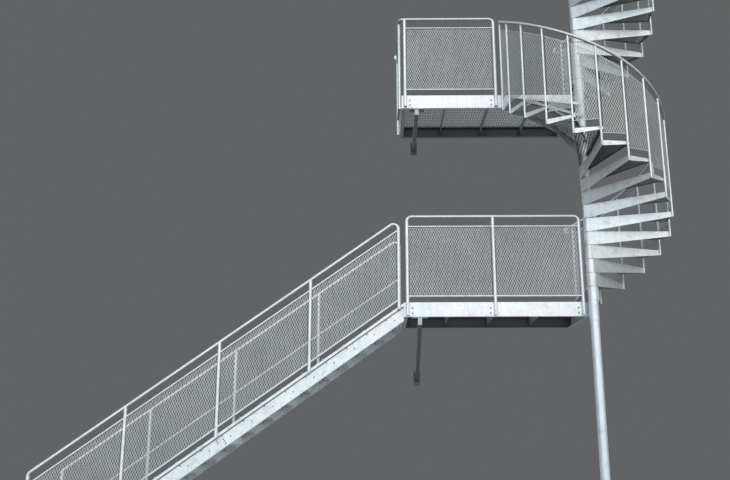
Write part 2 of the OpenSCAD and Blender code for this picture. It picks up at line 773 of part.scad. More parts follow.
// Stringer with its folded top on the outside, built for the outer side
module stringer() {
    end = -landing_len - tread_play;
    parts = [[joint_x + splice_gap / 2, end, false], [foot_x1, joint_x - splice_gap / 2, true]];
    color(steel_pale) {
        for (s = parts) {
            plate_xz(stringer_outline(s[0], s[1], s[2]), outer_web_y, stringer_t);
            plate_xz(chord_outline(s[0], s[1], chord_h), front_y, lip_t);
            plate_xz(chord_outline(s[0], s[1], chord_t), front_y, chord_w + stringer_t);
        }
        translate([end - end_plate_t, outer_web_y, pitch_z(end) - stringer_drop - stringer_v])
            cube([end_plate_t, stringer_t + end_lip, stringer_v - end_plate_t]);
    }
}

// Shape moved to the inner stringer by mirroring it in the middle of the flight
module on_inner_side() {
    translate([0, outer_web_y + inner_web_y, 0]) mirror([0, 1, 0]) children();
}

// Plate over the joint of a stringer, on its inner face between two treads
module splice() {
    color(steel) translate([joint_x - splice_len / 2, outer_web_y + stringer_t,
                            level[0] - splice_tread * riser - end_drop - splice_play - splice_h])
        cube([splice_len, splice_t, splice_h]);
}

// Tread of the straight flight with its nosing edge at x = 0, top at z = 0
module flight_tread() {
    y0 = outer_web_y + stringer_t + tread_play;
    y1 = inner_web_y - stringer_t - tread_play;
    bars = floor((tread_depth - nosing_d - bar_t) / bar_pitch);
    step = (tread_depth - nosing_d - bar_t) / bars;
    translate([0, y0, -bar_h]) cube([nosing_t, y1 - y0, bar_h]);
    translate([0, y0, -nosing_t]) cube([nosing_d, y1 - y0, nosing_t]);
    for (i = [0 : bars]) translate([nosing_d + i * step, y0, -bar_h]) cube([bar_t, y1 - y0, bar_h]);
    for (y = [y0, y1 - nosing_t])
        plate_xz([[0, -bar_h], [end_slant, -end_drop], [tread_depth - nosing_d, -end_drop],
                  [tread_depth, -bar_h], [tread_depth, 0], [0, 0]], y, nosing_t);
}

module flight_treads() {
    color(steel_dull) for (j = [1 : flight_tread_count])
        translate([tread_x(j), 0, level[0] - j * riser]) flight_tread();
}

flight_lug_w = 66;

// Lug of a post of the flight, on the folded lip of the stringer and as slanted as it
module flight_lug(x) {
    plate_xz(chord_outline(x - flight_lug_w / 2, x + flight_lug_w / 2, chord_h), front_y - lug_t, lug_t);
}

module flight_outer_guard() {
    top = post_x(0);
    foot = post_x(last_post);
    color(steel_pale) difference() {
        union() {
            tube_xz([[top, pitch_z(top) - flight_tail], [top, pitch_z(top) + guard_h],
                     [foot, pitch_z(foot) + guard_h], [foot, pitch_z(foot) - flight_tail]],
                    post_y, rail_d, bend_r, slim_leg);
            for (i = [1 : last_post - 1])
                translate([post_x(i), post_y, pitch_z(post_x(i)) - flight_tail])
                    cylinder(h = flight_tail + guard_h, d = post_d);
            for (h = [rail_rise, guard_h - rail_drop])
                bar([foot, post_y, pitch_z(foot) + h], [top, post_y, pitch_z(top) + h], thin_rail_d);
            for (i = [0 : last_post]) flight_lug(post_x(i));
        }
        for (i = [0 : last_post]) post_bore(post_x(i), post_y, pitch_z(post_x(i)) - flight_tail);
    }
}

module flight_outer_guard_mesh() {
    half = rail_d / 2 + mesh_play;
    color(mesh_tone) for (i = [0 : last_post - 1]) {
        a = post_x(i + 1) + half;
        b = post_x(i) - half;
        slack = (thin_rail_d / 2 + mesh_play) / cos(slope_angle);
        low = rail_rise + slack;
        high = guard_h - rail_drop - slack;
        mesh_sheet([a, post_y], [b, post_y], [pitch_z(a) + low, pitch_z(b) + low],
                   [pitch_z(a) + high, pitch_z(b) + high]);
    }
}

inner_rail_y = inner_web_y + rail_d / 2 + tread_play;
inner_mid_drop = 575;
inner_tail = 60;

// Rail without mesh on the anchored side, its posts standing on the folded top of the inner stringer
module flight_inner_rail() {
    top = inner_post_x(0);
    foot = inner_post_x(last_post);
    under = chord_outline(foot_x1, -landing_len, stringer_v);
    color(steel_pale) difference() {
        union() {
            tube_xz([[top, pitch_z(top) - inner_tail], [top, pitch_z(top) + guard_h],
                     [foot, pitch_z(foot) + guard_h], [foot, pitch_z(foot) - inner_tail]],
                    inner_rail_y, rail_d, bend_r, slim_leg);
            for (i = [1 : last_post - 1])
                translate([inner_post_x(i), inner_rail_y, pitch_z(inner_post_x(i)) - inner_tail])
                    cylinder(h = inner_tail + guard_h, d = post_d);
            bar([foot, inner_rail_y, pitch_z(foot) + guard_h - inner_mid_drop],
                [top, inner_rail_y, pitch_z(top) + guard_h - inner_mid_drop], thin_rail_d);
        }
        translate([0, 0, 0.2]) plate_xz(under, inner_rail_y - rail_d, 2 * rail_d);
    }
}

foot_w = 90;
foot_hole = [60, 25];
foot_out = 20;

module flight_feet() {
    mid = (foot_x1 + foot_x2) / 2;
    for (y = [outer_web_y + stringer_t - foot_out, inner_web_y - stringer_t + foot_out - foot_w])
        color(steel_dull) difference() {
            translate([foot_x1 - foot_t, y, 0]) cube([foot_x2 - foot_x1 + 2 * foot_t, foot_w, foot_t]);
            for (i = [-1, 1])
                translate([mid + i * foot_hole[0],
                           y < rear_y / 2 ? y + foot_w - foot_hole[1] : y + foot_hole[1], -overcut])
                    cylinder(h = foot_t + 2 * overcut, d = anchor_d);
        }
}

column();
column_base();
column_cap();
landing_collars();
front_channel(level[0]);  // landing_1_front_channel
side_channels(level[0]);  // landing_1_side_channels
rear_ledger(level[0]);  // landing_1_rear_ledger
joists(level[0]);  // landing_1_joists
grating(level[0]);  // landing_1_grating
full_front_guard(level[0]);  // landing_1_guard
union() {  // landing_1_guard_mesh
    front_mesh(left_post_x, mid_post_x, level[0]);
    front_mesh(mid_post_x, right_post_x, level[0]);
}
strut(level[0], strut_drop);  // landing_1_strut
front_channel(level[1]);  // landing_2_front_channel
side_channels(level[1]);  // landing_2_side_channels
rear_ledger(level[1]);  // landing_2_rear_ledger
joists(level[1]);  // landing_2_joists
grating(level[1]);  // landing_2_grating
corner_guard(level[1]);  // landing_2_guard
union() {  // landing_2_guard_mesh
    front_mesh(left_post_x, -upper_guard_end, level[1]);
    side_mesh(side_x, level[1]);
}
strut(level[1], upper_strut_drop);  // landing_2_strut
front_channel(level[2]);  // landing_3_front_channel
side_channels(level[2]);  // landing_3_side_channels
rear_ledger(level[2]);  // landing_3_rear_ledger
joists(level[2]);  // landing_3_joists
grating(level[2]);  // landing_3_grating
corner_guard(level[2]);  // landing_3_guard
union() {  // landing_3_guard_mesh
    front_mesh(left_post_x, -upper_guard_end, level[2]);
    side_mesh(side_x, level[2]);
    side_mesh(end_x, level[2]);
}
strut(level[2], upper_strut_drop);  // landing_3_strut
end_guard(level[2]);  // landing_3_end_guard
spiral_treads(level[0]);  // spiral_1_treads
spiral_balusters(level[0]);  // spiral_1_balusters
spiral_handrail(level[0]);  // spiral_1_handrail
spiral_mesh(level[0]);  // spiral_1_mesh
spiral_treads(level[1]);  // spiral_2_treads
spiral_balusters(level[1]);  // spiral_2_balusters
spiral_handrail(level[1]);  // spiral_2_handrail
spiral_mesh(level[1]);  // spiral_2_mesh
stringer();  // flight_outer_stringer
on_inner_side() stringer();  // flight_inner_stringer
union() {  // flight_splices
    splice();
    on_inner_side() splice();
}
flight_treads();
flight_outer_guard();
flight_outer_guard_mesh();
flight_inner_rail();
flight_feet();
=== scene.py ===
import json
import math

import bpy
import numpy as np
from mathutils import Matrix, Vector


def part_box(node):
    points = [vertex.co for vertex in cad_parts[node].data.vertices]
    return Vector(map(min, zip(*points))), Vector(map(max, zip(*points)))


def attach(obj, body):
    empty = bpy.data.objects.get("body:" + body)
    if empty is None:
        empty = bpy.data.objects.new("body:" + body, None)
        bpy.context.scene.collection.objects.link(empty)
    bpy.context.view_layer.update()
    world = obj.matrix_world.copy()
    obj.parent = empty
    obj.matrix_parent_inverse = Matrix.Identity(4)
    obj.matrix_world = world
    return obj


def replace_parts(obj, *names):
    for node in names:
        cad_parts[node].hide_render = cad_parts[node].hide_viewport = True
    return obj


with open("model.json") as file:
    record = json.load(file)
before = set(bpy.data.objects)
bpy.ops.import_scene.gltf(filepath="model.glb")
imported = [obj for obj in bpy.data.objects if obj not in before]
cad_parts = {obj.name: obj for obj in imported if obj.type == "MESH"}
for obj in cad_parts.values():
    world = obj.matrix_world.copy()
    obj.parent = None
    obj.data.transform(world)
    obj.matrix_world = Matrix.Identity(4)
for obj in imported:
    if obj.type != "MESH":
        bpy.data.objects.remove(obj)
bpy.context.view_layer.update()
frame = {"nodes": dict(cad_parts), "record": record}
nodes = frame["nodes"]
print("frame: %d nodes" % len(nodes))

# Levels and edges of the stair in metres, read from the frame, and the sizes that several of its pieces share
levels = [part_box("landing_%d_grating" % n)[1].z for n in (1, 2, 3)]
leftX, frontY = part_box("landing_1_front_channel")[0][:2]
rightX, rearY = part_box("landing_1_rear_ledger")[1][:2]
stair = {"riser": 0.175, "going": 0.25, "storeyRisers": 16, "flightTreads": 18, "edgeHigh": 0.18, "edgeThick": 0.008,
         "railWide": 0.0424, "thinRailWide": 0.0269, "guardHigh": 1.107, "midRailDrop": 0.131, "lowRailRise": 0.072,
         "meshPlay": 0.0005, "meshThick": 0.0025, "lugThick": 0.005, "webY": 0.11, "webThick": 0.008,
         "flightWide": 1.11}
spiral = {"radius": 1.0, "stepDegrees": 18.0, "rearSkew": 0.037, "noseSkew": 0.010, "plateThick": 0.006,
          "plateSeat": 0.06155, "balusterWide": 0.0269, "balusterPlay": 0.0003, "guardHigh": 1.03, "meshDrop": 0.11,
          "meshRise": 0.087}
slope = stair["riser"] / stair["going"]
flightDepth = 2 * frontY + stair["flightWide"]  # y of a point on the straight flight plus y of its mirror image
stepTurn = math.radians(spiral["stepDegrees"])
treadsPerTurn = stair["storeyRisers"] - 1
xAxis, yAxis, zAxis = np.eye(3)

# A spiral tread seen from above, with its riser along x: lines of its rear plate and of its nosing, column to rim
treadRear = np.array([[0, -spiral["plateSeat"]], [spiral["radius"], spiral["plateThick"] / 2 - spiral["rearSkew"]]])
treadNose = (np.array([[0, spiral["plateSeat"]], [spiral["radius"], -spiral["noseSkew"]]])
             @ [[math.cos(stepTurn), math.sin(stepTurn)], [-math.sin(stepTurn), math.cos(stepTurn)]])


def pitchZ(x):  # height of the straight flight's pitch line at x
    return levels[0] + slope * (x - leftX)


# Faces of n rings of k points each: neighbours on a ring joined to the next ring, and both ends closed flat
def ringFaces(n, k):
    i, j = np.meshgrid(np.arange(n - 1), np.arange(k), indexing="ij")
    a, b = i * k + j, i * k + (j + 1) % k
    return [np.stack([a, b, b + k, a + k], -1).reshape(-1, 4),
            np.stack([np.arange(k)[::-1], (n - 1) * k + np.arange(k)])]


# Profile carried along a path: point = path(i) + swell(i) * (a(j) * side(i) + b(j) * up(i)), turned by twist(i).
# side is level and to the left of the path unless it is given, and up is square to both
def sweep(path, profile, side=None, swell=None, twist=None):
    path = np.asarray(path, float)
    tangent = np.gradient(path, axis=0)
    tangent /= np.linalg.norm(tangent, axis=1)[:, None]
    side = np.cross(zAxis, tangent) if side is None else np.broadcast_to(side, path.shape)
    side = side / np.linalg.norm(side, axis=1)[:, None]
    up = np.cross(tangent, side)
    a, b = profile[None, :, :1], profile[None, :, 1:]
    if twist is not None:
        c, s = np.cos(twist)[:, None, None], np.sin(twist)[:, None, None]
        a, b = a * c - b * s, a * s + b * c
    if swell is not None:
        a, b = a * swell[:, None, None], b * swell[:, None, None]
    points = path[:, None] + a * side[:, None] + b * up[:, None]
    return points.reshape(-1, 3), ringFaces(len(path), len(profile))


# Points of a circle: (r cos t, r sin t) at equal turns
def circle(radius, sides):
    turn = 2 * np.pi * (np.arange(sides) + 0.5) / sides
    return radius * np.stack([np.cos(turn), np.sin(turn)], 1)


# Corners of a flat bar's section: half of its width to either side, half of its height up and down
def flatBar(wide, high):
    return np.array([[-wide, -high], [wide, -high], [wide, high], [-wide, high]]) / 2


# Profile of (radius, height) turned round z: point = (r cos t, r sin t, h)
def turned(profile, sides):
    profile = np.asarray(profile, float)
    points = np.concatenate([profile[:, None, :1] * circle(1.0, sides)[None],
                             np.broadcast_to(profile[:, None, 1:], (len(profile), sides, 1))], 2)
    return points.reshape(-1, 3), ringFaces(len(profile), sides)


# Stacks (points, faces) pairs into one pair: each face number grows by the points before it
def joinParts(parts):
    base, allPoints, bySize = 0, [], {}
    for points, faces in parts:
        allPoints.append(points)
        for f in faces:
            bySize.setdefault(f.shape[1], []).append(f + base)
        base += len(points)
    return np.concatenate(allPoints), [np.concatenate(fs) for fs in bySize.values()]


# 4x4 place with its z axis along outward and its x axis level, turned by spin about outward
def facing(place, outward, spin=0.0):
    z = np.asarray(outward, float) / np.linalg.norm(outward)
    x = np.cross(yAxis if abs(z[2]) > 0.9 else zAxis, z)
    x /= np.linalg.norm(x)
    y = np.cross(z, x)
    out = np.eye(4)
    out[:3, :3] = np.stack([x * math.cos(spin) + y * math.sin(spin), y * math.cos(spin) - x * math.sin(spin), z], 1)
    out[:3, 3] = place
    return out


# One small shape repeated: copy(n) = turn(n) * point + place(n)
def placeCopies(shape, places):
    points, faces = shape
    places = np.asarray(places, float)
    out = np.einsum("nij,kj->nki", places[:, :3, :3], points) + places[:, None, :3, 3]
    shift = np.arange(len(places))[:, None, None] * len(points)
    return out.reshape(-1, 3), [(f[None] + shift).reshape(-1, f.shape[1]) for f in faces]


crispTurn = math.radians(40)  # a smooth piece keeps an edge where its faces turn by more than this


# Mesh object from (points, faces) pairs, riding on the stair's one body
def addPiece(name, parts, look, smooth=False):
    points, faces = joinParts(parts)
    mesh = bpy.data.meshes.new(name)
    totals = np.concatenate([np.full(len(f), f.shape[1]) for f in faces])
    loops = np.concatenate([f.ravel() for f in faces])
    mesh.vertices.add(len(points))
    mesh.vertices.foreach_set("co", points.astype(np.float32).ravel())
    mesh.loops.add(len(loops))
    mesh.loops.foreach_set("vertex_index", loops.astype(np.int32))
    mesh.polygons.add(len(totals))
    mesh.polygons.foreach_set("loop_start", (np.cumsum(totals) - totals).astype(np.int32))
    mesh.update(calc_edges=True)
    mesh.polygons.foreach_set("use_smooth", np.full(len(totals), smooth))
    if smooth:
        mesh.set_sharp_from_angle(angle=crispTurn)
    mesh.materials.append(steel[look])
    piece = bpy.data.objects.new(name, mesh)
    bpy.context.scene.collection.objects.link(piece)
    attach(piece, "root")
    print("%s: %d triangles" % (name, (totals - 2).sum()))
    return piece


# Galvanised steel in several states of weather, some with painted shade. One number is both the share of painted
# shade on faces that look down and the share of the real stains; under gives that painted shade its own start, end
# and share;
# rear gives share and reach of painted shade near the rear; lip is the share of a painted shadow line behind the
# stringer's lip; treads adds painted shade between the plates of the spiral treads and the dark joints of their
# sleeves
steelLooks = {
    "pale": {"light": (0.83, 0.86, 0.855), "dark": (0.63, 0.68, 0.695), "metal": 0.45, "rough": 0.38,
             "spangle": 0.35, "stainAndUndersideShade": 0.45},
    # rails: painted shade on the lower half of each tube
    "rail": {"light": (0.84, 0.87, 0.88), "dark": (0.64, 0.68, 0.70), "metal": 0.45, "rough": 0.36,
             "spangle": 0.30, "stainAndUndersideShade": 0.4, "under": (0.0, -0.55, 0.75)},
    # spiral treads: painted shade between their plates and beneath their tops, and dark dirt at the sleeve joints
    "tread": {"light": (0.83, 0.86, 0.865), "dark": (0.60, 0.65, 0.665), "metal": 0.45, "rough": 0.38,
              "spangle": 0.35, "stainAndUndersideShade": 0.8, "treads": True},
    "plain": {"light": (0.70, 0.73, 0.75), "dark": (0.46, 0.50, 0.52), "metal": 0.45, "rough": 0.42,
              "spangle": 0.45, "stainAndUndersideShade": 0.7},
    "dull": {"light": (0.70, 0.73, 0.72), "dark": (0.48, 0.51, 0.51), "metal": 0.4, "rough": 0.5,
             "spangle": 0.40, "stainAndUndersideShade": 0.5},
    # gratings: painted shade along their rear edge
    "grating": {"light": (0.86, 0.90, 0.91), "dark": (0.64, 0.69, 0.71), "metal": 0.25, "rough": 0.45,
                "spangle": 0.35, "stainAndUndersideShade": 0.15, "rear": (0.9, 0.03)},
    "column": {"light": (0.77, 0.84, 0.89), "dark": (0.57, 0.65, 0.71), "metal": 0.45, "rough": 0.38,
               "spangle": 0.35, "stainAndUndersideShade": 0.6},
    # stringer: a painted shadow line beneath and behind its lip
    "stringer": {"light": (0.81, 0.84, 0.84), "dark": (0.60, 0.65, 0.66), "metal": 0.45, "rough": 0.40,
                 "spangle": 0.40, "stainAndUndersideShade": 0.7, "lip": 0.9},
    "mesh": {"light": (0.50, 0.52, 0.51), "dark": (0.34, 0.36, 0.35), "metal": 0.3, "rough": 0.45,
             "spangle": 0.3, "stainAndUndersideShade": 0.4},
    # a darker copy for the flight's inner stringer and treads: painted shade
    "dimShaded": {"light": (0.52, 0.55, 0.56), "dark": (0.30, 0.33, 0.34), "metal": 0.3, "rough": 0.5,
            "spangle": 0.4, "stainAndUndersideShade": 0.8},
    # a darker copy for the ledgers and struts: painted shade, and more painted shade towards the rear
    "shaded": {"light": (0.52, 0.53, 0.54), "dark": (0.30, 0.31, 0.32), "metal": 0.35, "rough": 0.45,
               "spangle": 0.4, "stainAndUndersideShade": 0.95, "rear": (0.97, 0.16)},
    # a still darker copy for the joists beneath the landings: painted shade, and more towards the rear
    "joist": {"light": (0.30, 0.31, 0.32), "dark": (0.16, 0.17, 0.18), "metal": 0.3, "rough": 0.5,
              "spangle": 0.4, "stainAndUndersideShade": 0.95, "rear": (0.97, 0.16)},
    "plug": {"light": (0.035, 0.035, 0.037), "dark": (0.02, 0.02, 0.021), "metal": 0.0, "rough": 0.5,
             "spangle": 0.2, "stainAndUndersideShade": 0.3},
    # bolts near the rear: painted shade
    "bolt": {"light": (0.34, 0.36, 0.37), "dark": (0.16, 0.17, 0.18), "metal": 0.5, "rough": 0.42,
             "spangle": 0.2, "stainAndUndersideShade": 0.5, "rear": (0.85, 0.16)},
}
# The darkest colour below is that of painted shade beneath, behind and between parts, and of the dark joints of the
# sleeves; the under and rear ranges set by facing where that painted shade falls
weather = {"cloud": {"Scale": 2.3, "Detail": 5.0, "Roughness": 0.62}, "crystal": {"Scale": 75.0},
           "run": {"Scale": 1.0, "Detail": 3.0}, "runStretch": (24.0, 24.0, 1.6), "runShare": 0.3,
           "patch": {"Scale": 9.0, "Detail": 6.0, "Roughness": 0.7}, "grain": {"Scale": 240.0, "Detail": 2.0},
           "relief": {"Strength": 0.12, "Distance": 0.001}, "toneRange": (0.36, 0.72), "roughRange": (-0.08, 0.14),
           "stain": (0.40, 0.40, 0.37), "stainRange": (0.52, 0.74), "stainShare": 0.9,
           "shadeAndDirt": (0.055, 0.055, 0.058), "underRange": (-0.15, -0.8), "rearTurn": (0.7, 0.3)}
stringerLip = {"low": 0.046, "thick": 0.004, "play": 0.001, "shade": 0.02}
# joint is the half height of the dark line where two sleeves meet; top, share and frontShare set the painted shade
# between the plates of a tread, and the facing range is the range of y of a face's normal over which that painted
# shade lessens towards the lit front
treadShadeAndJointDirt = {"top": 0.004, "sleeve": 0.0615, "joint": 0.004, "share": 0.90, "frontShare": 0.48, "jointShare": 0.6,
             "frontLit": (-0.8, 0.0)}


# Adds a shader node; a value that is a socket is linked, and any other is set
def addNode(tree, kind, values=None, **settings):
    made = tree.nodes.new(kind)
    for key, value in settings.items():
        setattr(made, key, value)
    for key, value in (values or {}).items():
        if isinstance(value, bpy.types.NodeSocket):
            tree.links.new(value, made.inputs[key])
        else:
            made.inputs[key].default_value = value
    return made


def calc(tree, kind, a, b=0.0):  # one step of arithmetic on a, or on a and b
    return addNode(tree, "ShaderNodeMath", {0: a, 1: b}, operation=kind).outputs[0]


def apart(tree, vector):  # X, Y and Z of a vector
    return addNode(tree, "ShaderNodeSeparateXYZ", {0: vector}).outputs


def dot(tree, vector, line):  # x * line x + y * line y + z * line z
    return addNode(tree, "ShaderNodeVectorMath", {0: vector, 1: line}, operation="DOT_PRODUCT").outputs["Value"]


def ramp(tree, value, start, end, low=0.0, high=1.0):  # low at start, high at end, and even between them
    return addNode(tree, "ShaderNodeMapRange", {"Value": value, "From Min": start, "From Max": end,
                                                "To Min": low, "To Max": high}).outputs[0]


def blend(tree, share, a, b):  # number a + (b - a) * share
    return addNode(tree, "ShaderNodeMix", {0: share, 2: a, 3: b}, data_type="FLOAT").outputs[0]


def tint(tree, share, a, b):  # colour a + (b - a) * share
    a, b = ((*colour, 1) if isinstance(colour, tuple) else colour for colour in (a, b))
    return addNode(tree, "ShaderNodeMix", {0: share, 6: a, 7: b}, data_type="RGBA").outputs[2]


# Painted shade: 1 between the plates of a spiral tread and beneath its top, less on faces turned to the front where
# light falls, and a share of dark dirt at the joints of the sleeves. Each tread has its own frame: rise = (z - base)
# / riser, number = rise rounded up, turn = angle - 90 degrees + number * step, and a point is inside if it lies to
# the left of all three edges
def treadShadeAndJointDirtShare(tree, coords, normal):
    def op(kind, a, b=0.0):
        return calc(tree, kind, a, b)

    x, y, z = apart(tree, coords)
    out = op("SQRT", op("ADD", op("MULTIPLY", x, x), op("MULTIPLY", y, y)))
    rise = op("MODULO", op("DIVIDE", op("SUBTRACT", z, levels[0]), stair["riser"]), stair["storeyRisers"])
    number = op("CEIL", rise)
    below = op("MULTIPLY", op("SUBTRACT", number, rise), stair["riser"])
    turn = op("ADD", op("SUBTRACT", op("ARCTAN2", y, x), math.pi / 2), op("MULTIPLY", number, stepTurn))
    spot = addNode(tree, "ShaderNodeCombineXYZ", {0: op("MULTIPLY", out, op("COSINE", turn)),
                                                  1: op("MULTIPLY", out, op("SINE", turn))}).outputs[0]
    inside = op("SUBTRACT", out, treadShadeAndJointDirt["sleeve"])
    for start, end in ((treadRear[0], treadRear[1]), (treadRear[1], treadNose[1]), (treadNose[1], treadNose[0])):
        across = np.array([start[1] - end[1], end[0] - start[0]])
        inside = op("MINIMUM", inside, op("SUBTRACT", dot(tree, spot, (*across, 0)), across @ start))
    inside = op("MULTIPLY", op("GREATER_THAN", inside, 0.0), op("GREATER_THAN", below, treadShadeAndJointDirt["top"]))
    joint = op("LESS_THAN", op("MINIMUM", below, op("SUBTRACT", stair["riser"], below)), treadShadeAndJointDirt["joint"])
    joint = op("MULTIPLY", joint, op("LESS_THAN", out, treadShadeAndJointDirt["sleeve"]))
    frontLit = ramp(tree, normal["Y"], *treadShadeAndJointDirt["frontLit"], treadShadeAndJointDirt["frontShare"], treadShadeAndJointDirt["share"])
    return op("MAXIMUM", op("MULTIPLY", inside, frontLit), op("MULTIPLY", joint, treadShadeAndJointDirt["jointShare"]))


# The greatest of several shares of painted shade: where a face looks down, near the rear unless it looks that way,
# beneath and behind the lip of the outer stringer by z - slope * x as a painted shadow line, and between the plates
# of the spiral treads, with the dark dirt at their sleeve joints
def shadeAndDirtShare(tree, coords, normal, look):
    depth = apart(tree, coords)["Y"]
    # painted shade on faces that look down
    start, end, share = look.get("under", (*weather["underRange"], look["stainAndUndersideShade"]))
    shadeAndDirt = ramp(tree, normal["Z"], start, end, 0.0, share)
    # painted shade near the rear, except on faces turned towards the rear
    if "rear" in look:
        share, reach = look["rear"]
        share = ramp(tree, normal["Y"], *weather["rearTurn"], 0.0, share)
        shadeAndDirt = calc(tree, "MAXIMUM", shadeAndDirt, ramp(tree, depth, rearY - reach, rearY - reach / 2, 0.0, share))
    # painted shadow line beneath the stringer's lip and on the web behind it
    if "lip" in look:
        edge = levels[0] - slope * leftX - stringerLip["low"]
        line = ramp(tree, dot(tree, coords, (-slope, 0, 1)), edge - stringerLip["shade"],
                    edge - stringerLip["shade"] / 2, 0.0, look["lip"])
        behind = calc(tree, "GREATER_THAN", depth, frontY + stringerLip["thick"] + stringerLip["play"])
        shadeAndDirt = calc(tree, "MAXIMUM", shadeAndDirt, calc(tree, "MULTIPLY", line, behind))
    # painted shade between the tread plates, and dark dirt at the sleeve joints
    if "treads" in look:
        shadeAndDirt = calc(tree, "MAXIMUM", shadeAndDirt, treadShadeAndJointDirtShare(tree, coords, normal))
    return shadeAndDirt


# Zinc: light to dark by clouds and crystals, with faint runs down the piece, then grey stains in patches, then
# painted shade beneath, behind and between parts and dark dirt at the sleeve joints, both not metallic. Darker zinc
# is rougher, and a fine grain stands out in relief
def galvanised(name, look):
    material = bpy.data.materials.new(name)
    material.use_nodes = True
    tree = material.node_tree
    shader = tree.nodes["Principled BSDF"].inputs
    coords = addNode(tree, "ShaderNodeTexCoord").outputs["Object"]
    normal = apart(tree, addNode(tree, "ShaderNodeNewGeometry").outputs["Normal"])

    def noise(kind, vector=coords):
        return addNode(tree, "ShaderNodeTexNoise", {"Vector": vector, **weather[kind]}).outputs["Fac"]

    crystal = addNode(tree, "ShaderNodeTexVoronoi", {"Vector": coords, **weather["crystal"]}).outputs["Color"]
    stretched = addNode(tree, "ShaderNodeMapping", {"Vector": coords, "Scale": weather["runStretch"]}).outputs[0]
    tone = blend(tree, look["spangle"], noise("cloud"), crystal)
    streaked = blend(tree, weather["runShare"], tone, noise("run", stretched))
    zinc = tint(tree, ramp(tree, streaked, *weather["toneRange"]), look["light"], look["dark"])
    stain = ramp(tree, noise("patch"), *weather["stainRange"], 0.0, weather["stainShare"] * look["stainAndUndersideShade"])
    # painted shade, and the dark sleeve joints, darken the colour and take away the metal
    shadeAndDirt = shadeAndDirtShare(tree, coords, normal, look)
    colour = tint(tree, shadeAndDirt, tint(tree, stain, zinc, weather["stain"]), weather["shadeAndDirt"])
    rough = ramp(tree, tone, 0.0, 1.0, *(look["rough"] + change for change in weather["roughRange"]))
    relief = addNode(tree, "ShaderNodeBump", {"Height": noise("grain"), **weather["relief"]}).outputs[0]
    tree.links.new(colour, shader["Base Color"])
    tree.links.new(rough, shader["Roughness"])
    tree.links.new(relief, shader["Normal"])
    if look["metal"] > 0:
        tree.links.new(ramp(tree, shadeAndDirt, 0.0, 1.0, look["metal"], 0.0), shader["Metallic"])
    return material


steel = {key: galvanised("galvanised_" + key, look) for key, look in steelLooks.items()}
slotLook = {"galvanised_pale": "pale", "galvanised": "plain", "galvanised_dull": "dull", "mesh_sheet": "mesh"}
# ledgers, struts and joists beneath the landings and the flight's inner stringer and treads take darker copies:
# painted shade
nodeLook = {"column": "column", "landing_collars": "column", "landing_3_end_guard": "rail",
            "flight_outer_guard": "rail", "flight_inner_rail": "rail", "flight_outer_stringer": "stringer",
            "flight_inner_stringer": "dimShaded", "flight_treads": "dimShaded"}
for n in (1, 2, 3):
    nodeLook.update({"landing_%d_guard" % n: "rail", "landing_%d_grating" % n: "grating",
                     "landing_%d_joists" % n: "joist", "landing_%d_rear_ledger" % n: "shaded",
                     "landing_%d_strut" % n: "shaded"})
for n in (1, 2):
    nodeLook.update({"spiral_%d_treads" % n: "tread", "spiral_%d_balusters" % n: "rail"})
slotOf = {part["node"]: part["material_slot"] for part in frame["record"]["subparts"]}
for name, obj in nodes.items():
    obj.data.materials.clear()
    obj.data.materials.append(steel[nodeLook.get(name, slotLook[slotOf[name]])])
print("materials: %d" % len(steel))

# Places of the posts: along the front and on the sides of each landing, and down the straight flight
posts = {"leftEnd": 0.047, "sideEnd": 0.08, "upperEnd": -1.1, "flightStart": 0.062, "flightPitch": 1.115,
         "flightCount": 5}
postGap = stair["railWide"] / 2 + stair["meshPlay"]
meshLow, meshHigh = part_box("landing_1_guard_mesh")
frontPostY = (meshLow.y + meshHigh.y) / 2
leftPostX = leftX + posts["leftEnd"]
rightPostX = meshHigh.x + postGap
frontPosts = [(leftPostX, (leftPostX + rightPostX) / 2, rightPostX), *[(leftPostX, posts["upperEnd"])] * 2]
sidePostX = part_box("landing_2_guard_mesh")[0].x + stair["meshThick"] / 2
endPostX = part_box("landing_3_guard_mesh")[1].x - stair["meshThick"] / 2
sidePosts = [(), (sidePostX,), (sidePostX, endPostX)]
sidePostY = (frontY + posts["sideEnd"], rearY - posts["sideEnd"])
flightPostX = [leftX - posts["flightStart"] - i * posts["flightPitch"] for i in range(posts["flightCount"])]

# Dark plugs in the open lower ends of the posts
plug = {"radius": 0.0178, "high": 0.012, "inset": 0.002, "sides": 20, "tail": 0.165, "flightTail": 0.048}
plugSpots = [(x, frontPostY, pitchZ(x) - plug["flightTail"]) for x in flightPostX]
for k, level in enumerate(levels):
    plugSpots += [(x, frontPostY, level - plug["tail"]) for x in frontPosts[k]]
    plugSpots += [(x, y, level - plug["tail"]) for x in sidePosts[k] for y in sidePostY]
plugShape = turned([(plug["radius"], plug["inset"]), (plug["radius"], plug["high"])], plug["sides"])
addPiece("post_plugs", [placeCopies(plugShape, [Matrix.Translation(spot) for spot in plugSpots])], "plug")

# Expanded metal: upright strands that zigzag and meet their neighbours at the bonds
expanded = {"cellWide": 0.031, "cellHigh": 0.064, "strandWide": 0.0064, "bondHigh": 0.009, "thick": 0.002,
            "shortest": 0.0001}


